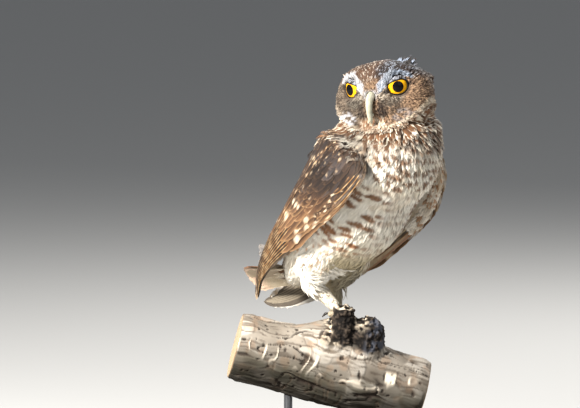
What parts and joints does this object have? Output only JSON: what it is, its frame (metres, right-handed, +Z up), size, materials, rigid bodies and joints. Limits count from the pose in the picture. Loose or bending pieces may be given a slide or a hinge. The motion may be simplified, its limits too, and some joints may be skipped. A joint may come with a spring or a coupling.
{
  "type": "burrowing owl display model",
  "caption": "Life-size burrowing owl standing on a short cut branch, head turned to its right, held up by a plain display stand.",
  "frame": {"origin": "on the floor, under the centre of the whole piece's bounding box, which is the underside of the round base", "axes": "+Z up; the bird's breast faces -Y, its back and tail +Y, its left side +X; the head is turned to the bird's right; the branch runs at 45 degrees across and falls away in front of the bird to its left"},
  "size_m": [0.172, 0.1772, 0.2925],
  "materials": {
    "plumage": "soft matt feathers, brown above with whitish spots, cream below with brown bars",
    "eye": "wet clear cornea over a deep yellow iris with a black pupil",
    "bill": "satin greenish horn with a grey cere",
    "toe_skin": "matt scaly toes with sparse bristles",
    "claw": "satin blackish horn",
    "bark": "dry rough cracked bark, grey-beige",
    "stand_wood": "dark stained wood with a satin varnish",
    "stand_steel": "dark satin steel rod"
  },
  "bodies": {
    "root": {"head": "plumage", "neck": "plumage", "trunk": "plumage", "wing_left": "plumage", "wing_right": "plumage", "tail": "plumage", "thigh_left": "plumage", "thigh_right": "plumage", "tarsus_left": "plumage", "tarsus_right": "plumage", "eye_left": "eye", "eye_right": "eye", "bill_upper": "bill", "bill_lower": "bill", "foot_left": "toe_skin", "foot_right": "toe_skin", "perch_branch": "bark", "stand_base": "stand_wood", "stand_rod_1": "stand_steel", "stand_rod_2": "stand_steel", "claw_left_1": "claw", "claw_left_2": "claw", "claw_left_3": "claw", "claw_left_4": "claw", "claw_right_1": "claw", "claw_right_2": "claw", "claw_right_3": "claw", "claw_right_4": "claw"}
  },
  "joints": []
}
